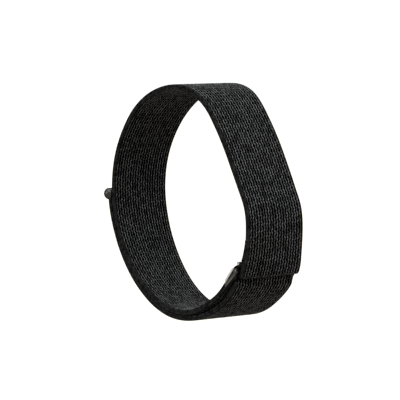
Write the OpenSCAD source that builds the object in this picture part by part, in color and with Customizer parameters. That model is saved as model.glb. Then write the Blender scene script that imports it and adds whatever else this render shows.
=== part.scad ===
// Magnetic nylon watch strap: a closed loop of double-woven webbing that is
// threaded through a metal ring, folded back on itself and held by magnets.
// Millimetres. +Z is up, the strap's width runs along Y, the loop lies in XZ,
// and the origin is the middle of the space that the wrist fills.
// Bodies: the loop (fixed), the ring that swings on its hem bar, and the folded
// back tail, which peels off as five hinged stretches.

/* [Strap] */
// Width of the webbing
strap_width = 18; // [14:0.5:24]
// Thickness of the loop webbing
web_t = 1.4; // [1.3:0.05:1.8]
// Thickness of the tail webbing
tail_t = 1.3; // [1.2:0.05:1.6]
// Thickness of one woven ply
ply_t = 0.42; // [0.3:0.02:0.42]
// Space between the loop and the closed tail
layer_gap = 0.25; // [0.25:0.05:0.5]
// Size of the loop against the one shown
loop_scale = 1; // [0.9:0.01:1.2]

/* [Metal parts] */
// Diameter of the ring's bars
bar_d = 1.6; // [1.4:0.1:2]
// Radial clearance between a bar and the webbing round it
bar_clear = 0.1; // [0.08:0.01:0.1]
// Diameter of the hem bar's journals
journal_d = 0.9; // [0.7:0.1:1]
// Diameter of the stop rod at the tail's tip
rod_d = 3.4; // [3:0.1:4]
// Diameter of the keeper pin in the hem
keeper_d = 1; // [0.8:0.1:1]

/* [Magnets] */
// Length of one magnet along the strap
magnet_l = 7; // [5:0.5:8]
// Width of one magnet across the strap
magnet_w = 11; // [8:0.5:12]

/* [Hidden] */
$fn = 48;

hw = strap_width / 2;
bar_r = bar_d / 2;
wrap_r = bar_r + bar_clear;
rod_r = rod_d / 2;

// The ring in side view: the hem bar's axis, the direction from the slide bar
// to the hem bar, and the spacing that leaves both folds free.
hem_x = 29.35;
hem_z = -18.8;
ring_a = 47;
ring_l = 2 * wrap_r + web_t + tail_t + 0.1;
slide_x = hem_x - ring_l * cos(ring_a);
slide_z = hem_z - ring_l * sin(ring_a);

// The loop's inner face, from the hem bar up the outer side, over the top,
// down and along the bottom to the slide bar: [length, turn in degrees].
h0 = 67;
route = [[5.5, 10], [10, 23.5], [5, 19], [12, 2], [14, 9.5], [8, 21.5], [10, 24.5],
         [12, 18.5], [12, 21.5], [14, 24], [14, 32], [14, 26.5], [14, 21], [12, 23.5],
         [12, 18.5], [10, 14.5], [8, 15.5], [8, 14.5], [2, 5.5]];

function arc_x(h, l, t) = abs(t) < 0.01 ? l * cos(h)
    : l / (t * PI / 180) * (sin(h + t) - sin(h));
function arc_z(h, l, t) = abs(t) < 0.01 ? l * sin(h)
    : l / (t * PI / 180) * (cos(h) - cos(h + t));

// [x, z, heading, length so far] at the start of each stretch and at the end
knots = [for (i = 0, x = 0, z = 0, h = h0, s = 0; i <= len(route);
              x = i < len(route) ? x + arc_x(h, route[i][0], route[i][1]) : x,
              z = i < len(route) ? z + arc_z(h, route[i][0], route[i][1]) : z,
              s = i < len(route) ? s + route[i][0] : s,
              h = i < len(route) ? h + route[i][1] : h,
              i = i + 1) [x, z, h, s]];
n_route = len(route);
s_end = knots[n_route][3];
h_end = knots[n_route][2];
heads = [for (k = knots) [k[3], k[2]]];

// the stretch that holds s, found by halving
function find(s, lo, hi) = hi - lo < 2 ? lo
    : let (m = floor((lo + hi) / 2)) knots[m][3] <= s ? find(s, m, hi) : find(s, lo, m);
function raw(s) = let (i = find(s, 0, n_route), k = knots[i], l = s - k[3],
                       t = route[i][1] * l / route[i][0])
    [k[0] + arc_x(k[2], l, t), k[1] + arc_z(k[2], l, t)];
function nrm(s) = let (h = lookup(s, heads)) [sin(h), -cos(h)];

// both ends are tied to the ring; the small misfit is spread along the loop
p_start = [hem_x, hem_z] + wrap_r * [sin(h0), -cos(h0)];
p_end = [slide_x, slide_z] - (wrap_r + web_t) * [sin(h_end), -cos(h_end)];
misfit = p_end - p_start - loop_scale * raw(s_end);
function pt(s, d) = p_start + loop_scale * raw(s) + misfit * (s / s_end) + d * nrm(s);

// space between the loop's outer face and the tail's inner face
s_tip = 116.9;
tip_lift = 0.6;
function smooth(u) = let (v = min(1, max(0, u))) v * v * (3 - 2 * v);
function gap(s) = layer_gap + (2 * wrap_r - layer_gap) * smooth((s - 168) / (s_end - 168))
    + tip_lift * smooth((130 - s) / (130 - s_tip));
function tail_d(s, f) = web_t + gap(s) + f * tail_t;
function tail_pt(s, f) = pt(s, tail_d(s, f));

// even steps of about a millimetre, the same ones wherever stretches meet
function steps(a, b) = concat([a], [for (i = [floor(a) + 1 : 1 : ceil(b) - 1]) if (i > a + 0.02 && i < b - 0.02) i], [b]);
function back(v) = [for (i = [len(v) - 1 : -1 : 0]) v[i]];

module across(w) {
    translate([0, w / 2, 0]) rotate([90, 0, 0]) linear_extrude(w) children();
}
// a stretch of the loop between two depths, measured out from its inner face
module band(a, b, d1, d2, w) {
    v = steps(a, b);
    across(w) polygon(concat([for (s = v) pt(s, d1)], [for (s = back(v)) pt(s, d2)]));
}
// a stretch of the tail between two fractions of its thickness
module tail(a, b, f1, f2, w) {
    v = steps(a, b);
    across(w) polygon(concat([for (s = v) tail_pt(s, f1)], [for (s = back(v)) tail_pt(s, f2)]));
}
module rod_y(x, z, d, l) {
    translate([x, l / 2, z]) rotate([90, 0, 0]) cylinder(d = d, h = l);
}

// where the tail's stretches end, from the ring to the tip
cuts = [190, 177, 164, 151, 138, s_tip + 0.3];
mids = [183.5, 170.5, 157.5, 144.5, 131];
slit = 0.04;

module band_outer_ply() {
    color("DimGray") band(0, s_end - 1.2, web_t - ply_t, web_t, strap_width);
}
module band_inner_ply() {
    color("Gray") band(0, s_end - 1.2, 0, ply_t, strap_width);
}
// the spacer stops short of both selvedges, where the plies close on each other
core_inset = 0.4;
module band_core() {
    color("SlateGray") difference() {
        band(0, s_end - 1.2, ply_t, web_t - ply_t, strap_width - 2 * core_inset);
        for (m = mids)
            band(m - magnet_l / 2 - 0.1, m + magnet_l / 2 + 0.1, ply_t - 0.2, web_t - ply_t + 0.2, magnet_w + 0.2);
    }
}
module band_magnets() {
    color("Silver") for (m = mids)
        band(m - magnet_l / 2, m + magnet_l / 2, ply_t + 0.02, web_t - ply_t - 0.02, magnet_w);
}

// The webbing's end goes loosely round the hem bar and comes back up the inside
// of the loop, where it thins out: [degrees round the bar, bulge] for the bend,
// then [distance along the loop, thickness] for the part that lies on it.
bulge = [[0, 0], [122, 0], [132, 0.15], [142, 0.45], [151, 0.7], [161, 0.57], [169, 0.35],
         [177, 0.12], [190, -0.15], [207, -0.32], [225, -0.35]];
lies = [[3.6, 0.8], [4.7, 0.66], [6.2, 0.55], [7.6, 0.36], [9.5, 0.1]];
wrap_sweep = 225;
function on_hem(r, a) = [hem_x + r * cos(a), hem_z + r * sin(a)];
keeper_at = pt(2.5, -0.38 - keeper_d / 2);
module hem_wrap() {
    a0 = h0 - 90;
    n = 45;
    r2 = wrap_r + web_t;
    color("DarkSlateGray") difference() {
        across(strap_width) polygon(concat(
            [for (i = [0 : n]) on_hem(wrap_r, a0 - wrap_sweep * i / n)],
            [for (s = [2.2 : 1 : 9.2]) pt(s, -0.02)], [pt(9.5, -0.02)],
            [for (k = back(lies)) pt(k[0], -k[1])],
            [keeper_at],
            [for (i = [n : -1 : 0]) on_hem(r2 + lookup(wrap_sweep * i / n, bulge), a0 - wrap_sweep * i / n)]));
        rod_y(keeper_at[0], keeper_at[1], keeper_d + 0.1, strap_width + 4);
        band(0, 11, -0.02, web_t + 1, strap_width + 4);
    }
}
module hem_keeper_pin() {
    color("Gainsboro") rod_y(keeper_at[0], keeper_at[1], keeper_d, strap_width + 1.8);
}

// Ring: a round slide bar between two flat, drop-shaped side plates. Each plate
// has a rounded rib on its outside and a boss round the hem bar's journal.
// Drawn with the slide bar along Y and the plates along Z, then turned.
arm_in = hw + 0.2;
arm_t = 0.8;
arm_h = 1.1;
foot = [-0.5, -0.5];
foot_r = 1.35;
shoulder = [-0.75, ring_l - 1];
shoulder_r = 1.05;
eye = [0, ring_l];
eye_r = 0.78;
module bar_y(x, z, r, y, h) {
    translate([x, y + h, z]) rotate([90, 0, 0]) cylinder(r = r, h = h);
}
// direction of the touching points of the line that runs along the left (1) or
// the right (-1) of two discs
function touch(a, ra, b, rb, side) =
    let (d = b - a, t = atan2(d[1], d[0]) + side * acos((ra - rb) / norm(d))) [cos(t), sin(t)];
// the plate's outline: three discs with straight edges between them
module drop(h) {
    p = touch(foot, foot_r, shoulder, shoulder_r, 1);
    t = touch(shoulder, shoulder_r, eye, eye_r, 1);
    q = touch(foot, foot_r, eye, eye_r, -1);
    bar_y(foot[0], foot[1], foot_r, arm_in, h);
    bar_y(shoulder[0], shoulder[1], shoulder_r, arm_in, h);
    bar_y(eye[0], eye[1], eye_r, arm_in, h);
    translate([0, arm_in + h, 0]) rotate([90, 0, 0]) linear_extrude(h)
        polygon([foot + foot_r * p, foot + foot_r * q, eye + eye_r * q, eye + eye_r * t,
                 shoulder + shoulder_r * t, shoulder + shoulder_r * p]);
}
module side_plate() {
    drop(arm_t);
    bar_y(0, ring_l, eye_r, arm_in, arm_h);
    intersection() {
        translate([0, arm_in + 0.1, foot[1] - foot_r - 1]) cylinder(r = 1, h = ring_l + foot_r + 2);
        drop(arm_h + 0.2);
    }
}
module buckle_frame() {
    color("DimGray") translate([slide_x, 0, slide_z]) rotate([0, 90 - ring_a, 0]) difference() {
        union() {
            bar_y(0, 0, bar_r, -arm_in - 0.3, 2 * arm_in + 0.6);
            side_plate();
            mirror([0, 1, 0]) side_plate();
        }
        bar_y(0, ring_l, journal_d / 2 + 0.02, -arm_in - 4, 2 * arm_in + 8);
    }
}
module buckle_hem_bar() {
    color("Silver") union() {
        rod_y(hem_x, hem_z, bar_d, 2 * arm_in - 0.06);
        rod_y(hem_x, hem_z, journal_d, 2 * (arm_in + arm_h) - 0.02);
    }
}
module pin_head() {
    translate([hem_x, -arm_in - arm_h - 0.02, hem_z]) rotate([90, 0, 0])
        rotate_extrude() intersection() {
            translate([0, -1.65]) circle(r = 1.92, $fn = 96);
            square([0.72, 1]);
        }
}
module buckle_pin_heads() {
    color("Silver") { pin_head(); mirror([0, 1, 0]) pin_head(); }
}

// The webbing turns over the slide bar and runs on as the tail.
module tail_fold() {
    n = 24;
    v = steps(cuts[0] + slit, s_end);
    q = [slide_x, slide_z];
    a0 = h_end - 90;
    color("DarkSlateGray") across(strap_width) polygon(concat(
        [for (s = v) tail_pt(s, 0)],
        [for (i = [1 : n]) q + wrap_r * [cos(a0 + 180 * i / n), sin(a0 + 180 * i / n)]],
        [for (s = back(steps(s_end - 0.6, s_end - 0.1))) pt(s, web_t)],
        [for (s = steps(s_end - 0.6, s_end - 0.1)) pt(s, 0)],
        [for (i = [n : -1 : 1]) q + (wrap_r + tail_t + (web_t - tail_t) * i / n) * [cos(a0 + 180 * i / n), sin(a0 + 180 * i / n)]],
        [for (s = back(v)) tail_pt(s, 1)]));
}

// One stretch of the tail: two plies with a magnet shut in between them.
fp = 0.5;
module tail_outer(i) {
    color("DimGray") tail(cuts[i + 1] + slit, cuts[i] - slit, fp, 1, strap_width);
}
module tail_inner(i) {
    m = mids[i];
    color("Gray") difference() {
        tail(cuts[i + 1] + slit, cuts[i] - slit, 0, fp, strap_width);
        tail(m - magnet_l / 2 - 0.1, m + magnet_l / 2 + 0.1, 0.2, fp + 0.1, magnet_w + 0.2);
    }
}
module tail_magnet(i) {
    m = mids[i];
    color("Silver") tail(m - magnet_l / 2, m + magnet_l / 2, 0.22, fp - 0.02, magnet_w);
}

// Stop rod: a bar across the tip with a slot that holds the webbing's end.
rod_at = pt(s_tip, web_t + layer_gap + rod_r);
module end_rod() {
    color("DimGray") difference() {
        rod_y(rod_at[0], rod_at[1], rod_d, strap_width + 0.5);
        tail(s_tip + 0.25, s_tip + 4, -0.015, 1.015, strap_width + 4);
    }
}
// a flattened dome, two thirds as high as the rod's radius
cap_h = 0.68 * rod_r;
cap_r = (rod_r * rod_r + cap_h * cap_h) / (2 * cap_h);
module rod_cap() {
    translate([rod_at[0], -hw - 0.27, rod_at[1]]) rotate([90, 0, 0])
        rotate_extrude() intersection() {
            translate([0, cap_h - cap_r]) circle(r = cap_r, $fn = 96);
            square([rod_r, rod_r]);
        }
}
module end_rod_caps() {
    color("Silver") { rod_cap(); mirror([0, 1, 0]) rod_cap(); }
}

band_outer_ply();
band_inner_ply();
band_core();
band_magnets();
hem_wrap();
hem_keeper_pin();
buckle_frame();
buckle_hem_bar();
buckle_pin_heads();
tail_fold();
tail_outer(0);  // tail_1_outer_ply
tail_inner(0);  // tail_1_inner_ply
tail_magnet(0);  // tail_1_magnet
tail_outer(1);  // tail_2_outer_ply
tail_inner(1);  // tail_2_inner_ply
tail_magnet(1);  // tail_2_magnet
tail_outer(2);  // tail_3_outer_ply
tail_inner(2);  // tail_3_inner_ply
tail_magnet(2);  // tail_3_magnet
tail_outer(3);  // tail_4_outer_ply
tail_inner(3);  // tail_4_inner_ply
tail_magnet(3);  // tail_4_magnet
tail_outer(4);  // tail_5_outer_ply
tail_inner(4);  // tail_5_inner_ply
tail_magnet(4);  // tail_5_magnet
end_rod();
end_rod_caps();
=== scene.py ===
import bpy
import math
import numpy as np
from mathutils import Matrix, Vector


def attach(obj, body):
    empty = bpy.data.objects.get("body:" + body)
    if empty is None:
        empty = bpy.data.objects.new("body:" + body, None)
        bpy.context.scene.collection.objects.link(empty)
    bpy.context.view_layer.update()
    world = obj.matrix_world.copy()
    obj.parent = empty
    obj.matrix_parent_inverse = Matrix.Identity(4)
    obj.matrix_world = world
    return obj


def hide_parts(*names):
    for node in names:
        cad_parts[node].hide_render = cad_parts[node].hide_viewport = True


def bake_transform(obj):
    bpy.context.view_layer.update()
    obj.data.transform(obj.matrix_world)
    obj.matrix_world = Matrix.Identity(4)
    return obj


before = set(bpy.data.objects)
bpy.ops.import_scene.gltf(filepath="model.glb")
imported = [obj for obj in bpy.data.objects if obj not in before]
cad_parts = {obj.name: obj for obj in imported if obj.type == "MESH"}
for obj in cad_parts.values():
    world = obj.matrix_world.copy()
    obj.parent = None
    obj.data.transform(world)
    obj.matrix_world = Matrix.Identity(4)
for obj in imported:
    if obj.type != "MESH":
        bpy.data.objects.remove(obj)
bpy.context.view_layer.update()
scene = bpy.context.scene
MM = 0.001

# ---------------------------------------------------------------- strap path
# The same route as the CAD model, in millimetres, in the XZ plane.
WEB_T, TAIL_T, GAP, BAR_D, CLEAR = 1.4, 1.3, 0.25, 1.6, 0.1
WRAP_R = BAR_D / 2 + CLEAR
HW, HW_RING = 9.32, 9.12
HEM = np.array([29.35, -18.8])
RING_A = math.radians(47)
RING_L = 2 * WRAP_R + WEB_T + TAIL_T + 0.1
SLIDE = HEM - RING_L * np.array([math.cos(RING_A), math.sin(RING_A)])
H0 = 67.0
ROUTE = [[5.5, 10], [10, 23.5], [5, 19], [12, 2], [14, 9.5], [8, 21.5], [10, 24.5],
         [12, 18.5], [12, 21.5], [14, 24], [14, 32], [14, 26.5], [14, 21], [12, 23.5],
         [12, 18.5], [10, 14.5], [8, 15.5], [8, 14.5], [2, 5.5]]


def arc(h, l, t):
    if abs(t) < 0.01:
        return np.array([l * math.cos(math.radians(h)), l * math.sin(math.radians(h))])
    r = l / math.radians(t)
    a, b = math.radians(h), math.radians(h + t)
    return r * np.array([math.sin(b) - math.sin(a), math.cos(a) - math.cos(b)])


KNOTS = []
_p, _h, _s = np.zeros(2), H0, 0.0
for _l, _t in ROUTE:
    KNOTS.append((_p[0], _p[1], _h, _s))
    _p, _h, _s = _p + arc(_h, _l, _t), _h + _t, _s + _l
KNOTS.append((_p[0], _p[1], _h, _s))
S_END, H_END = _s, _h


def nrm(s):
    h = math.radians(np.interp(s, [k[3] for k in KNOTS], [k[2] for k in KNOTS]))
    return np.array([math.sin(h), -math.cos(h)])


def raw(s):
    i = 0
    while i < len(ROUTE) - 1 and KNOTS[i + 1][3] <= s:
        i += 1
    x, z, h, s0 = KNOTS[i]
    return np.array([x, z]) + arc(h, s - s0, ROUTE[i][1] * (s - s0) / ROUTE[i][0])


P_START = HEM + WRAP_R * nrm(0)
P_END = SLIDE - (WRAP_R + WEB_T) * nrm(S_END)
MISFIT = P_END - P_START - raw(S_END)


def pt(s, d=0.0):
    return P_START + raw(s) + MISFIT * (s / S_END) + d * nrm(s)


S_TIP, TIP_LIFT = 116.9, 0.6


def smooth(u):
    u = min(1.0, max(0.0, u))
    return u * u * (3 - 2 * u)


def gap(s):
    return (GAP + (2 * WRAP_R - GAP) * smooth((s - 168) / (S_END - 168))
            + TIP_LIFT * smooth((130 - s) / (130 - S_TIP)))


def tail_pt(s, f):
    return pt(s, WEB_T + gap(s) + f * TAIL_T)


# The webbing lies slightly askew: how far each selvedge stands out from the
# straight path, in millimetres, at distances along the loop.
FAR = {-9: -0.1, -5: 0.0, -2.5: 0.35, 0: 1.1, 1.5: 1.0, 4: 0.42, 7: -0.05, 10: -0.35, 13: -0.22, 16: -0.05, 19: -0.2, 22: -0.29, 25: -0.15,
       31: -0.10, 37: -0.02, 43: 0.1, 46: 0.05, 49: 0.2, 52: 0.6, 55: 0.9, 58: 0.8, 61: 0.68, 64: 0.42,
       70: 0.30, 76: 0.14, 84: -0.05, 90: -0.11, 94: -0.05, 102: 0.10, 110: 0.18, 118: 0.26,
       124: 0.15, 130: 0.26, 138: 0.47, 146: 0.71, 150: 0.82, 154: 1.05, 158: 1.26, 162: 0.90,
       168: 0.35, 174: -0.10, 180: 0.1, 184: 0.3, 188: 0.48, 192: 0.62, 196.5: 1.0}
NEAR = {0: -0.35, 5: 0.0, 9: 0.18, 15: 0.55, 18: 0.55, 21: 0.36, 25: 0.25, 29: 0.17, 37: 0.14, 45: 0.07, 53: 0.05,
        60: 0.0, 76: -0.06, 84: 0.05, 90: 0.14, 96: -0.03, 104: -0.08, 112: -0.20, 124: -0.21,
        130: -0.28, 136: -0.49, 142: -0.70, 148: -0.88, 151: -0.84, 157: -0.49, 163: -0.07,
        169: 0.20, 175: 0.22, 180: 0.0, 185: -0.25, 190: -0.28, 196.5: -0.35}
LEAN_S = np.arange(-12.0, 210.0, 0.25)


def eased(table_):
    v = np.interp(LEAN_S, list(table_), list(table_.values()))
    k = np.exp(-0.5 * (np.arange(-24, 25) * 0.25 / 1.6) ** 2)
    return np.convolve(np.pad(v, 24, "edge"), k / k.sum(), "valid")


FAR_V, NEAR_V = eased(FAR), eased(NEAR)


def lean(s):
    """Shift of the middle, and further shift per millimetre of Y."""
    f, n = np.interp(s, LEAN_S, FAR_V), np.interp(s, LEAN_S, NEAR_V)
    roll = 0.35 * max(smooth((14 - s) / 9), smooth((s - 180) / 10))
    return nrm(s) * (f + n) / 2, nrm(s) * (f - n) / 18.0 + np.array([0.0, roll / 9.0])


def half_width(s):
    """A touch narrower where the webbing passes between the ring's plates."""
    return HW_RING + (HW - HW_RING) * smooth((s - 4) / 8) * smooth((S_END - 5 - s) / 8)


# where the tail's stretches end, and their middles
CUTS = [190, 177, 164, 151, 138, S_TIP + 0.3]
MIDS = [183.5, 170.5, 157.5, 144.5, 131]


def e_of(a):
    return np.array([math.cos(math.radians(a)), math.sin(math.radians(a))])


# ------------------------------------------------------------- woven plies
# A ply is a closed shell: a relief of zigzag cords on its face, rolled
# selvedges, and a plain back in the middle of the webbing.
WALES, PITCH, SWING = 20, 0.885, 0.15


class Chain:
    """A face of the webbing as a path: points, outward normals, half thickness,
    and the pattern's phase, with rings at every sixth of a zigzag."""

    def __init__(self):
        self.rows = []

    def add(self, p, n, t, period, tag, s, near=(0, 0), far=(0, 0)):
        """near and far are further offsets of the two selvedges."""
        m, k = lean(s)
        near, far = np.array(near, float), np.array(far, float)
        m, k = m + (near + far) / 2, k + (far - near) / 18.0
        self.rows.append((p[0] + m[0], p[1] + m[1], n[0], n[1], t, period, tag, k[0], k[1], half_width(s)))

    def rings(self, per=6):
        r = np.array(self.rows, float)
        step = np.hypot(*np.diff(r[:, :2], axis=0).T)
        keep = np.r_[True, step > 1e-7]
        r = r[keep]
        step = np.hypot(*np.diff(r[:, :2], axis=0).T)
        phase = np.r_[0, np.cumsum(step / (0.5 * (r[1:, 5] + r[:-1, 5])))]
        length = np.r_[0, np.cumsum(step)]
        k = np.arange(0, math.floor(phase[-1] * per) + 1)
        q = k / per
        out = {n: np.interp(q, phase, r[:, i]) for i, n in enumerate(("x", "z", "nx", "nz", "t"))}
        ln = np.hypot(out["nx"], out["nz"])
        out["nx"] /= ln
        out["nz"] /= ln
        out["phase"] = q
        out["len"] = np.interp(q, phase, length)
        out["tag"] = np.interp(q, phase, r[:, 6])
        out["kx"] = np.interp(q, phase, r[:, 7])
        out["kz"] = np.interp(q, phase, r[:, 8])
        out["w"] = np.interp(q, phase, r[:, 9])
        out["k"] = k
        return out


def cut(r, lo, hi):
    """The rings from index lo to hi, both included."""
    return {n: v[lo:hi + 1] for n, v in r.items()}


# selvedge: (inset from the edge, depth below the face as a share or in mm)
def edge_profile(t):
    return [(0.14, t), (0.03, t - 0.09), (0.0, t * 0.72), (0.03, t * 0.54),
            (0.0, t * 0.34), (0.02, 0.10), (0.08, 0.0), (0.18, -0.04), (0.30, -0.04), (0.42, 0.03)]


rng_tables = {}


def table(seed):
    """Per stitch brightness and height, and slow sideways drift per wale."""
    if seed not in rng_tables:
        g = np.random.default_rng(seed)
        rng_tables[seed] = (g.random((WALES, 400)), g.random((WALES, 400)),
                            g.random((WALES, 3)) * 2 * math.pi, g.random((2, 400)),
                            g.integers(0, 3, WALES))
    return rng_tables[seed]


def painted_crevice_shade(tag):
    """Painted shade: the yarns' tone is darkened where the hem turns under and where the fold comes out from
    below it."""
    return np.interp(tag, [-9.8, -8.8, -3.9, -2.7, S_END + 2, S_END + 3, S_END + 5.3, S_END + 6.1],
                     [1.0, 0.4, 0.4, 1.0, 1.0, 0.4, 0.4, 1.0])


def ply_shell(r, seed, flip=False, relief=1.0):
    """Vertices, faces and per-vertex values of one ply along rings r."""
    tone_t, high_t, drift, edge_t, step_t = table(seed)
    n = len(r["x"])
    half = np.floor(r["phase"] * 2 + 1e-6).astype(int) % 400          # which stroke
    # the wales are out of step with each other
    wales = []
    for k in range(WALES):
        kk = r["k"] + int(step_t[k])
        ph = (kk % 6) / 6.0
        wales.append((np.floor_divide(kk, 3).astype(int) % 400, kk % 3 == 0,
                      SWING * (1 + 0.15 * math.sin(drift[k, 2])) * np.where(ph <= 0.5, -1 + 4 * ph, 3 - 4 * ph),
                      0.02 * np.sin(r["len"] / 3.1 + drift[k, 0]) + 0.015 * np.sin(r["len"] / 1.3 + drift[k, 1])))

    cols_y, cols_e, cols_tone, cols_st, cols_v = [], [], [], [], []

    def col(y, e, tone, st, v):
        cols_y.append(np.broadcast_to(y, (n,)).astype(float))
        cols_e.append(np.broadcast_to(e, (n,)).astype(float))
        cols_tone.append(np.broadcast_to(tone, (n,)).astype(float))
        cols_st.append(np.broadcast_to(st, (n,)).astype(float))
        cols_v.append(np.broadcast_to(v, (n,)).astype(float))

    t = r["t"]
    prof = edge_profile(t)
    # left selvedge
    w = r["w"]
    v0 = -HW - 1.2
    for i, (a, e) in enumerate(prof):
        e = np.minimum(e, t)
        bulge = 0.012 * np.cos(2 * math.pi * (r["phase"] * 3 + 0.17 * i)) if 0 < i < 7 else 0.0
        col(-w + a + bulge, e, (0.42 + 0.08 * (i % 2)) * (0.82 + 0.36 * edge_t[0][(half + 31 * i) % 400]), edge_t[0][half], v0 + 0.19 * i)
    for k in range(WALES):
        c = (k - (WALES - 1) / 2) * PITCH
        stroke, turn, sw, wander = wales[k]
        prev = (stroke - 1) % 400
        crest_dip = np.where(turn, 1.0, 0.0)
        fit = w / HW
        y = (c + sw + wander) * fit
        st = np.where(turn, 0.5 * (tone_t[k][stroke] + tone_t[k][prev]), tone_t[k][stroke])
        hi = np.where(turn, 0.5 * (high_t[k][stroke] + high_t[k][prev]), high_t[k][stroke])
        top = -0.085 - 0.03 * (hi - 0.5) + 0.075 * crest_dip
        low = 0.21
        # painted shade: the tone is lower at the turns, where the yarn dives under
        tone = np.where(turn, 0.72, 1.0)
        wid = 0.062 - 0.012 * crest_dip
        top_r, low_r = 0.06 + (top - 0.06) * relief, 0.06 + (low - 0.06) * relief
        # the cords' flanks and the gaps between wales take the ground colour, which is partly the dark ground
        # yarn and partly painted shade in the recesses
        col(y - 0.20, low_r, 0.0, st, c - 0.25)
        col(y - wid, top_r, tone, st, c - 0.1)
        col(y + wid, top_r, tone, st, c + 0.1)
        col(y + 0.20, low_r, 0.0, st, c + 0.25)
        if k < WALES - 1:
            b = 0.075 - 0.03 * crest_dip
            y_next = (c + PITCH + wales[k + 1][2] + wales[k + 1][3]) * fit
            col((y + y_next) / 2, 0.06 + (b - 0.06) * relief, 0.05, st, c + 0.44)
    v1 = HW + 1.2
    for i, (a, e) in reversed(list(enumerate(prof))):
        e = np.minimum(e, t)
        bulge = 0.012 * np.cos(2 * math.pi * (r["phase"] * 3 + 0.17 * i)) if 0 < i < 7 else 0.0
        col(w - a - bulge, e, (0.42 + 0.08 * (i % 2)) * (0.82 + 0.36 * edge_t[1][(half + 31 * i) % 400]), edge_t[1][half], v1 - 0.19 * i)

    y = np.stack(cols_y, 1)
    e = np.stack(cols_e, 1)
    m = y.shape[1]
    x = r["x"][:, None] - r["nx"][:, None] * e + r["kx"][:, None] * y
    z = r["z"][:, None] - r["nz"][:, None] * e + r["kz"][:, None] * y
    co = np.stack([x, y, z], 2).reshape(-1, 3) * MM
    uv = np.stack([np.broadcast_to(r["len"][:, None], (n, m)), np.stack(cols_v, 1)], 2).reshape(-1, 2) * 0.01
    # painted shade: the tones are darkened at the hem's turn and where the fold comes out from under it
    tone = (np.stack(cols_tone, 1) * painted_crevice_shade(r["tag"])[:, None]).ravel()
    st = np.stack(cols_st, 1).ravel()
    i = np.arange(n - 1)[:, None] * m
    j = np.arange(m)[None, :]
    jn = (j + 1) % m
    quads = np.stack([i + j, i + jn, i + m + jn, i + m + j], 2).reshape(-1, 4)
    first = np.arange(m)[::-1]
    last = (n - 1) * m + np.arange(m)
    if flip:
        quads, first, last = quads[:, ::-1], first[::-1], last[::-1]
    return co, quads, [first, last], uv, tone, st


def make_mesh(name, shells, mats):
    """One mesh object from several closed shells."""
    off, cos, corners, totals, uvs, tones, sts = 0, [], [], [], [], [], []
    for co, quads, ends, uv, tone, st in shells:
        cos.append(co)
        uvs.append(uv)
        tones.append(tone)
        sts.append(st)
        corners.append(quads.ravel() + off)
        totals.append(np.full(len(quads), 4))
        for f in ends:
            corners.append(f + off)
            totals.append(np.array([len(f)]))
        off += len(co)
    co, uv = np.concatenate(cos), np.concatenate(uvs)
    corners, totals = np.concatenate(corners), np.concatenate(totals)
    me = bpy.data.meshes.new(name)
    me.vertices.add(len(co))
    me.vertices.foreach_set("co", co.astype(np.float32).ravel())
    me.loops.add(len(corners))
    me.loops.foreach_set("vertex_index", corners.astype(np.int32))
    me.polygons.add(len(totals))
    starts = np.r_[0, np.cumsum(totals)[:-1]]
    me.polygons.foreach_set("loop_start", starts.astype(np.int32))
    me.polygons.foreach_set("loop_total", totals.astype(np.int32))
    me.polygons.foreach_set("use_smooth", totals == 4)
    me.update(calc_edges=True)
    layer = me.uv_layers.new(name="weave")
    layer.data.foreach_set("uv", uv[corners].astype(np.float32).ravel())
    for n, v in (("tone", np.concatenate(tones)), ("stitch", np.concatenate(sts))):
        at = me.attributes.new(n, "FLOAT", "POINT")
        at.data.foreach_set("value", v.astype(np.float32))
    me.validate()
    ob = bpy.data.objects.new(name, me)
    scene.collection.objects.link(ob)
    for m in mats:
        me.materials.append(m)
    return ob


# --------------------------------------------------------------- materials
def new_material(name):
    m = bpy.data.materials.new(name)
    m.use_nodes = True
    nt = m.node_tree
    for n in list(nt.nodes):
        nt.nodes.remove(n)
    out = nt.nodes.new("ShaderNodeOutputMaterial")
    bsdf = nt.nodes.new("ShaderNodeBsdfPrincipled")
    nt.links.new(bsdf.outputs[0], out.inputs[0])
    return m, nt, bsdf


def math_node(nt, op, *values):
    n = nt.nodes.new("ShaderNodeMath")
    n.operation = op
    for i, v in enumerate(values):
        if isinstance(v, (int, float)):
            n.inputs[i].default_value = v
        else:
            nt.links.new(v, n.inputs[i])
    return n.outputs[0]


def mix_color(nt, fac, a, b):
    n = nt.nodes.new("ShaderNodeMix")
    n.data_type = "RGBA"
    if isinstance(fac, (int, float)):
        n.inputs[0].default_value = fac
    else:
        nt.links.new(fac, n.inputs[0])
    for i, v in ((6, a), (7, b)):
        if isinstance(v, tuple):
            n.inputs[i].default_value = v
        else:
            nt.links.new(v, n.inputs[i])
    return n.outputs[2]


def noise(nt, vec, scale, detail=2.0, rough=0.5):
    n = nt.nodes.new("ShaderNodeTexNoise")
    n.inputs["Scale"].default_value = scale
    n.inputs["Detail"].default_value = detail
    n.inputs["Roughness"].default_value = rough
    if vec is not None:
        nt.links.new(vec, n.inputs["Vector"])
    return n.outputs["Fac"]


def scaled(nt, vec, s):
    n = nt.nodes.new("ShaderNodeMapping")
    n.inputs["Scale"].default_value = s
    nt.links.new(vec, n.inputs["Vector"])
    return n.outputs[0]


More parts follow.
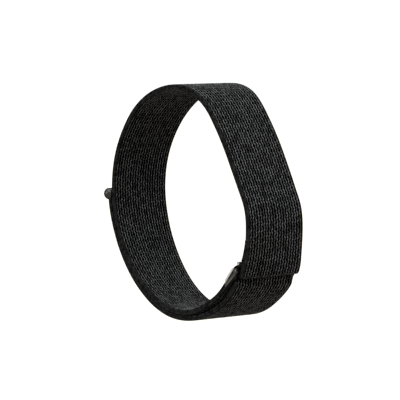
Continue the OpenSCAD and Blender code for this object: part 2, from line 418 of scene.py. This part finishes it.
def nylon():
    m, nt, b = new_material("woven_nylon")
    tone = nt.nodes.new("ShaderNodeAttribute")
    tone.attribute_name = "tone"
    st = nt.nodes.new("ShaderNodeAttribute")
    st.attribute_name = "stitch"
    uv = nt.nodes.new("ShaderNodeUVMap")
    uv.uv_map = "weave"
    geo = nt.nodes.new("ShaderNodeTexCoord")
    fibre = noise(nt, scaled(nt, uv.outputs[0], (260.0, 2600.0, 1.0)), 1.0, 3.0, 0.6)
    patch = noise(nt, geo.outputs["Object"], 180.0, 2.0, 0.5)
    fine = noise(nt, geo.outputs["Object"], 5200.0, 1.0, 0.5)
    gain = math_node(nt, "MULTIPLY_ADD", st.outputs["Fac"], 1.2, 0.4)
    gain = math_node(nt, "MULTIPLY", gain, math_node(nt, "MULTIPLY_ADD", patch, 0.16, 0.92))
    gain = math_node(nt, "MULTIPLY", gain, math_node(nt, "MULTIPLY_ADD", fibre, 0.7, 0.65))
    # near-black in the gaps: partly the dark ground yarn, partly painted shade
    ground_and_painted_shade = (0.0006, 0.0006, 0.0006, 1)
    yarn = (0.064, 0.064, 0.0645, 1)
    c = mix_color(nt, math_node(nt, "POWER", tone.outputs["Fac"], 3.2), ground_and_painted_shade, yarn)
    vm = nt.nodes.new("ShaderNodeVectorMath")
    vm.operation = "SCALE"
    nt.links.new(c, vm.inputs[0])
    nt.links.new(gain, vm.inputs["Scale"])
    nt.links.new(vm.outputs[0], b.inputs["Base Color"])
    b.inputs["Roughness"].default_value = 0.55
    b.inputs["Specular IOR Level"].default_value = 0.0
    b.inputs["Sheen Weight"].default_value = 0.0
    bump = nt.nodes.new("ShaderNodeBump")
    bump.inputs["Strength"].default_value = 0.35
    bump.inputs["Distance"].default_value = 0.00003
    h = math_node(nt, "ADD", math_node(nt, "MULTIPLY", fibre, 0.8), math_node(nt, "MULTIPLY", fine, 0.3))
    nt.links.new(h, bump.inputs["Height"])
    nt.links.new(bump.outputs[0], b.inputs["Normal"])
    return m


def metal(name, color, rough, scratch=0.06, level=1.0, tint=1.0):
    m, nt, b = new_material(name)
    geo = nt.nodes.new("ShaderNodeTexCoord")
    n1 = noise(nt, geo.outputs["Object"], 420.0, 3.0, 0.6)
    n2 = noise(nt, scaled(nt, geo.outputs["Object"], (900.0, 90.0, 900.0)), 3.0, 2.0, 0.6)
    dark = tuple(v * 0.82 for v in color[:3]) + (1,)
    nt.links.new(mix_color(nt, n1, dark, color), b.inputs["Base Color"])
    b.inputs["Metallic"].default_value = level
    b.inputs["Specular Tint"].default_value = (tint, tint, tint, 1)
    r = math_node(nt, "ADD", math_node(nt, "MULTIPLY", n2, scratch * 2), rough - scratch)
    nt.links.new(r, b.inputs["Roughness"])
    bump = nt.nodes.new("ShaderNodeBump")
    bump.inputs["Strength"].default_value = 0.06
    bump.inputs["Distance"].default_value = 0.00001
    nt.links.new(n2, bump.inputs["Height"])
    nt.links.new(bump.outputs[0], b.inputs["Normal"])
    return m


def ring_metal():
    """Gunmetal with light painted in, set by the place on the plate: a painted highlight along the outer edge,
    a painted dark reflection in a band beside the rib, and painted shade (black) on the plates' right side and on
    all of the frame inside the plates' outer faces."""
    m, nt, b = new_material("ring_gunmetal")
    geo = nt.nodes.new("ShaderNodeTexCoord")
    off = nt.nodes.new("ShaderNodeVectorMath")
    off.operation = "SUBTRACT"
    nt.links.new(geo.outputs["Object"], off.inputs[0])
    off.inputs[1].default_value = (SLIDE[0] * MM, 0.0, SLIDE[1] * MM)

    def along(v):
        dot = nt.nodes.new("ShaderNodeVectorMath")
        dot.operation = "DOT_PRODUCT"
        nt.links.new(off.outputs[0], dot.inputs[0])
        dot.inputs[1].default_value = tuple(c / MM for c in v)
        return dot.outputs["Value"]

    def above(v, edge, width):
        n = nt.nodes.new("ShaderNodeMapRange")
        n.interpolation_type = "SMOOTHSTEP"
        n.inputs["From Min"].default_value = edge - width
        n.inputs["From Max"].default_value = edge + width
        nt.links.new(v, n.inputs["Value"])
        return n.outputs["Result"]

    ca, sa = math.cos(RING_A), math.sin(RING_A)
    x = along((sa, 0.0, -ca))
    z = along((ca, 0.0, sa))
    y = math_node(nt, "ABSOLUTE", along((0.0, 1.0, 0.0)))
    u = math_node(nt, "SUBTRACT", x, math_node(nt, "MULTIPLY_ADD", z, 0.125, -0.17))
    n1 = noise(nt, geo.outputs["Object"], 900.0, 3.0, 0.6)
    n2 = noise(nt, scaled(nt, geo.outputs["Object"], (900.0, 90.0, 900.0)), 3.0, 2.0, 0.6)
    head = above(z, 2.2, 1.6)
    rib = mix_color(nt, n1, mix_color(nt, head, (0.075, 0.075, 0.074, 1), (0.04, 0.04, 0.0395, 1)),
                    mix_color(nt, head, (0.11, 0.11, 0.108, 1), (0.062, 0.062, 0.061, 1)))
    # near-black for painted shade and a painted dark reflection on the frame
    painted_dark = (0.0015, 0.0015, 0.0015, 1)
    right, painted_dark_band, edge = above(u, 0.34, 0.07), above(u, -0.68, 0.06), above(x, -1.2, 0.05)
    face = above(y, 9.93, 0.02)
    # painted shade: the right side of the plates is black
    c = mix_color(nt, right, rib, painted_dark)
    # painted dark reflection: a black band beside the rib
    c = mix_color(nt, painted_dark_band, painted_dark, c)
    # painted highlight: a light grey metal strip along the outer edge
    c = mix_color(nt, edge, (0.42, 0.416, 0.41, 1), c)
    # painted shade: all of the frame inside the plates' outer faces is black and not metal
    c = mix_color(nt, face, painted_dark, c)
    nt.links.new(c, b.inputs["Base Color"])
    # the painted dark parts are not metal; the painted highlight strip is
    lit = math_node(nt, "MULTIPLY", math_node(nt, "SUBTRACT", 1.0, right), painted_dark_band)
    lit = math_node(nt, "MAXIMUM", lit, math_node(nt, "SUBTRACT", 1.0, edge))
    nt.links.new(math_node(nt, "MULTIPLY", lit, face), b.inputs["Metallic"])
    b.inputs["Specular IOR Level"].default_value = 0.04
    b.inputs["Specular Tint"].default_value = (0.3, 0.3, 0.3, 1)
    r = math_node(nt, "ADD", math_node(nt, "MULTIPLY", n2, 0.1), 0.27)
    nt.links.new(r, b.inputs["Roughness"])
    bump = nt.nodes.new("ShaderNodeBump")
    bump.inputs["Strength"].default_value = 0.06
    bump.inputs["Distance"].default_value = 0.00001
    nt.links.new(n2, bump.inputs["Height"])
    nt.links.new(bump.outputs[0], b.inputs["Normal"])
    return m


def spacer():
    m, nt, b = new_material("spacer_fabric")
    geo = nt.nodes.new("ShaderNodeTexCoord")
    w = noise(nt, geo.outputs["Object"], 2600.0, 3.0, 0.6)
    nt.links.new(mix_color(nt, w, (0.006, 0.006, 0.006, 1), (0.03, 0.03, 0.03, 1)), b.inputs["Base Color"])
    b.inputs["Roughness"].default_value = 0.9
    bump = nt.nodes.new("ShaderNodeBump")
    bump.inputs["Strength"].default_value = 0.5
    bump.inputs["Distance"].default_value = 0.0001
    nt.links.new(w, bump.inputs["Height"])
    nt.links.new(bump.outputs[0], b.inputs["Normal"])
    return m


NYLON = nylon()
RING = ring_metal()
PIN = metal("pin_steel", (0.055, 0.055, 0.054, 1), 0.26, tint=0.4)
KEEPER = metal("keeper_steel", (0.34, 0.34, 0.335, 1), 0.26)
ROD = metal("rod_gunmetal", (0.036, 0.036, 0.035, 1), 0.30, tint=0.12)
MAGNET = metal("magnet_plating", (0.6, 0.58, 0.54, 1), 0.3)
SPACER = spacer()


def dress(node, material):
    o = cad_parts[node]
    o.data.materials.clear()
    o.data.materials.append(material)


for n in ("buckle_frame",):
    dress(n, RING)
for n in ("buckle_hem_bar", "buckle_pin_heads"):
    dress(n, PIN)
dress("hem_keeper_pin", KEEPER)
for n in ("end_rod", "end_rod_caps"):
    dress(n, ROD)

# ------------------------------------------------------------------ chains
PER_IN, PER_OUT = 1.78, 1.64
WRAP = 225.0
A0 = H0 - 90.0
R_OUT = WRAP_R + WEB_T


def hem_s(v):
    """Where along the lean tables the bend round the hem bar stands."""
    return float(np.interp(v, [0, 90, 150, 225], [0.0, -3.6, -3.6, 2.0]))


def hem_rise(v):
    return float(np.interp(v, [22, 50, 85, 115, 135], [0, 1, 1, 0.5, 0]))


def fold_push(w):
    """How far the fold's far selvedge stands out to the right of the ring."""
    return float(np.interp(w, [0.1, 0.3, 0.42, 0.5, 0.583, 0.664, 0.745, 0.82],
                           [0, 0.8, 1.75, 1.85, 1.15, 0.5, 0.2, 0]))


# Face A: bar side of the hem, the loop's inner face, the outside of the fold
# round the slide bar, the tail's outer face.
face_a = Chain()
for i in range(0, 57):
    a = A0 - WRAP + WRAP * i / 56
    face_a.add(HEM + WRAP_R * e_of(a), -e_of(a), WEB_T / 2, PER_OUT, -10 + 10 * i / 56 - 1e-6,
               hem_s(A0 - a))
for s in np.arange(0.25, S_END, 0.25):
    face_a.add(pt(s, 0), -nrm(s), WEB_T / 2, PER_IN, s, s)
for i in range(0, 61):
    a = H_END + 90 - 180 * i / 60
    w = i / 60
    ro = WRAP_R + WEB_T + (TAIL_T - WEB_T) * w
    face_a.add(SLIDE + ro * e_of(a), e_of(a), (ro - WRAP_R) / 2, PER_IN + (PER_OUT - PER_IN) * w,
               S_END + 10 * w, S_END, far=(fold_push(w), 0))
for s in list(np.arange(S_END - 0.25, CUTS[5] + 0.02, -0.25)) + [CUTS[5]]:
    face_a.add(tail_pt(s, 1), nrm(s), TAIL_T / 2, PER_OUT, S_END + 10 + (S_END - s), s)

# Face B: the thin end of the hem lying on the loop's inside, the dip where the
# keeper pin sits, the loose bulge round the hem bar, the loop's outer face, the
# bar side of the fold, the tail's inner face.
BULGE_A = [0, 122, 132, 142, 151, 161, 169, 177, 190, 207, 225]
BULGE_R = [0, 0, 0.15, 0.45, 0.7, 0.57, 0.35, 0.12, -0.15, -0.32, -0.35]
LIES_S = [3.6, 4.7, 6.2, 7.6, 9.5]
LIES_T = [0.8, 0.66, 0.55, 0.36, 0.1]
face_b = Chain()
for s in np.arange(9.5, 3.55, -0.25):
    t = np.interp(s, LIES_S, LIES_T)
    face_b.add(pt(s, -t), -nrm(s), t - 0.02, PER_OUT, -30 + (9.5 - s), s)
start = HEM + (R_OUT + BULGE_R[-1]) * e_of(A0 - WRAP)
dip = pt(2.5, -0.36)
shore = pt(3.3, -0.62)
face_b.add(shore, -nrm(3.3), 0.5, PER_OUT, -23.0, 3.3)
face_b.add(dip, (-nrm(2.5) + e_of(A0 - WRAP)) / 2, 0.3, PER_OUT, -22.0, 2.5)
lip = dip * 0.55 + start * 0.45 + 0.12 * e_of(A0 - WRAP)
face_b.add(lip, e_of(A0 - WRAP), 0.8, PER_OUT, -21.0, 2.2)
for i in range(0, 57):
    v = WRAP * (1 - i / 56)
    a = A0 - v
    r = R_OUT + np.interp(v, BULGE_A, BULGE_R)
    t = (r - WRAP_R - WEB_T / 2) if v > 14 else WEB_T / 2
    face_b.add(HEM + r * e_of(a), e_of(a), t, PER_OUT, -20 + 20 * i / 56 - 1e-6, hem_s(v),
               near=(0, 0.15 * hem_rise(v)), far=(0, 0.4 * hem_rise(v)))
for s in np.arange(0.25, S_END, 0.25):
    face_b.add(pt(s, WEB_T), nrm(s), WEB_T / 2, PER_OUT, s, s)
for i in range(0, 61):
    a = H_END + 90 - 180 * i / 60
    w = i / 60
    ro = WRAP_R + WEB_T + (TAIL_T - WEB_T) * w
    face_b.add(SLIDE + WRAP_R * e_of(a), -e_of(a), (ro - WRAP_R) / 2, PER_OUT, S_END + 10 * w, S_END,
               far=(fold_push(w), 0))
for s in list(np.arange(S_END - 0.25, CUTS[5] + 0.02, -0.25)) + [CUTS[5]]:
    face_b.add(tail_pt(s, 0), -nrm(s), TAIL_T / 2, PER_OUT, S_END + 10 + (S_END - s), s)

ra, rb = face_a.rings(), face_b.rings()
S_SPLIT = 184.0


def at_tag(r, tag):
    return int(np.argmin(np.abs(r["tag"] - tag)))


def tail_tag(s):
    return S_END + 10 + (S_END - s)


a_cuts = [0, at_tag(ra, S_SPLIT), at_tag(ra, tail_tag(S_END - 0.3))] + [at_tag(ra, tail_tag(m)) for m in MIDS] + [len(ra["x"]) - 1]
b_cuts = [0, at_tag(rb, S_SPLIT), at_tag(rb, tail_tag(S_END - 0.3))] + [at_tag(rb, tail_tag(m)) for m in MIDS] + [len(rb["x"]) - 1]

# The loop: outer and inner ply, each its own piece.
outer = make_mesh("loop_webbing_outer", [ply_shell(cut(rb, b_cuts[0], b_cuts[1]), 11)], [NYLON])
inner = make_mesh("loop_webbing_inner", [ply_shell(cut(ra, a_cuts[0], a_cuts[1]), 12, flip=True)], [NYLON])
fold = make_mesh("ring_fold_webbing", [ply_shell(cut(rb, b_cuts[1], b_cuts[2]), 11),
                                       ply_shell(cut(ra, a_cuts[1], a_cuts[2]), 12, flip=True)], [NYLON])
tails = []
for i in range(6):
    tails.append(make_mesh("tail_webbing_%d" % (i + 1),
                           [ply_shell(cut(rb, b_cuts[2 + i], b_cuts[3 + i]), 11),
                            ply_shell(cut(ra, a_cuts[2 + i], a_cuts[3 + i]), 12, flip=True)], [NYLON]))



# The spacer and the magnets lie askew with the plies that hold them.
def slab(stretches, mat, name):
    """Closed solids from (stations, point at a depth, inner and outer depth,
    near and far edge in Y)."""
    co, faces = [], []
    for v, at, d0, d1, y0, y1 in stretches:
        base = len(co)
        for s in v:
            m, k = lean(s)
            for d, y in ((d0, y0), (d0, y1), (d1, y1), (d1, y0)):
                p = at(s, d) + m + k * y
                co.append((p[0] * MM, y * MM, p[1] * MM))
        n = len(v)
        for i in range(n - 1):
            for j in range(4):
                a, b = base + 4 * i + j, base + 4 * i + (j + 1) % 4
                faces.append((a, a + 4, b + 4, b))
        faces.append((base, base + 1, base + 2, base + 3))
        e = base + 4 * (n - 1)
        faces.append((e + 3, e + 2, e + 1, e))
    me = bpy.data.meshes.new(name)
    me.from_pydata(co, [], faces)
    me.validate()
    me.materials.append(mat)
    ob = bpy.data.objects.new(name, me)
    scene.collection.objects.link(ob)
    return ob


def stations(a, b):
    return np.linspace(a, b, max(2, int(math.ceil((b - a) / 0.7)) + 1))


ML, MW, PLY = 7.0, 11.0, 0.42
core_parts, e0 = [], 1.0
for m in MIDS[::-1]:
    e1 = m - ML / 2 - 0.1
    core_parts.append((stations(e0, e1), pt, PLY + 0.02, WEB_T - PLY - 0.02, -8.6, 8.6))
    e0 = m + ML / 2 + 0.1
    for y0, y1 in ((-8.6, -MW / 2 - 0.1), (MW / 2 + 0.1, 8.6)):
        core_parts.append((stations(e1, e0), pt, PLY + 0.02, WEB_T - PLY - 0.02, y0, y1))
core = slab(core_parts, SPACER, "spacer_layer")
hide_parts("band_core")
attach(core, "loop")
magnets = slab([(stations(m - ML / 2, m + ML / 2), pt, PLY + 0.02, WEB_T - PLY - 0.02, -MW / 2, MW / 2)
                for m in MIDS], MAGNET, "loop_magnet_plates")
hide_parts("band_magnets")
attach(magnets, "loop")
for i, m in enumerate(MIDS):
    t = slab([(stations(m - ML / 2, m + ML / 2), tail_pt, 0.24, 0.48, -MW / 2, MW / 2)],
             MAGNET, "tail_magnet_plate_%d" % (i + 1))
    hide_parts("tail_%d_magnet" % (i + 1))
    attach(t, "tail_%d" % (i + 1))

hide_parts("band_outer_ply", "hem_wrap")
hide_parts("band_inner_ply")
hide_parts("tail_fold")
for i in range(5):
    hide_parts("tail_%d_outer_ply" % (i + 1), "tail_%d_inner_ply" % (i + 1))


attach(outer, "loop")
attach(inner, "loop")
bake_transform(fold)
for i in range(5):
    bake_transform(tails[i])
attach(tails[5], "tail_5")

# ------------------------------------------------------ floor, light, camera
me = bpy.data.meshes.new("floor")
z = -0.12
L = 6.0
me.from_pydata([(-L, -L, z), (L, -L, z), (L, L, z), (-L, L, z)], [], [(0, 1, 2, 3)])
floor = bpy.data.objects.new("floor", me)
scene.collection.objects.link(floor)
fm, nt, b = new_material("pale_floor")
b.inputs["Base Color"].default_value = (0.37, 0.345, 0.31, 1)
b.inputs["Roughness"].default_value = 1.0
b.inputs["Specular IOR Level"].default_value = 0.0
me.materials.append(fm)

world = bpy.data.worlds.new("studio")
scene.world = world
world.use_nodes = True
bg = world.node_tree.nodes["Background"]
bg.inputs[0].default_value = (1.0, 1.0, 1.0, 1)
bg.inputs[1].default_value = 1.1


def aim(o, target):
    d = (np.array(target, float) - np.array(o.location, float))
    o.rotation_euler = Vector(d).to_track_quat("-Z", "Y").to_euler()


sun = bpy.data.lights.new("softbox_sky", "SUN")
sun.energy = 7.6
sun.angle = math.radians(110)
sun.color = (0.95, 0.985, 1.0)
so = bpy.data.objects.new("softbox_sky", sun)
so.location = (0.2, 0.1, 1.0)
scene.collection.objects.link(so)
aim(so, (0, 0, 0))

side = bpy.data.lights.new("softbox_left", "SUN")
side.energy = 1.5
side.angle = math.radians(25)
sl = bpy.data.objects.new("softbox_left", side)
sl.location = (-0.3, -0.93, 0.25)
scene.collection.objects.link(sl)
aim(sl, (0, 0, 0))

AZ, EL, F_PX, DIST, CX, CZ = 56.1045, 4.1154, 1669.3, 474.63, -1.4889, -1.8064
a, e = math.radians(AZ), math.radians(EL)
fwd = np.array([-math.sin(a) * math.cos(e), math.cos(a) * math.cos(e), -math.sin(e)])
right = np.array([math.cos(a), math.sin(a), 0.0])
up = np.cross(right, fwd)
pos = (-fwd * DIST + right * CX + up * CZ) * MM
cam = bpy.data.cameras.new("camera")
cam.sensor_width = 36.0
cam.lens = F_PX * 36.0 / 400.0
cam.clip_start, cam.clip_end = 0.01, 20.0
co = bpy.data.objects.new("camera", cam)
co.matrix_world = Matrix(((right[0], up[0], -fwd[0], pos[0]),
                          (right[1], up[1], -fwd[1], pos[1]),
                          (right[2], up[2], -fwd[2], pos[2]),
                          (0, 0, 0, 1)))
scene.collection.objects.link(co)
scene.camera = co
scene.view_settings.view_transform = "Standard"
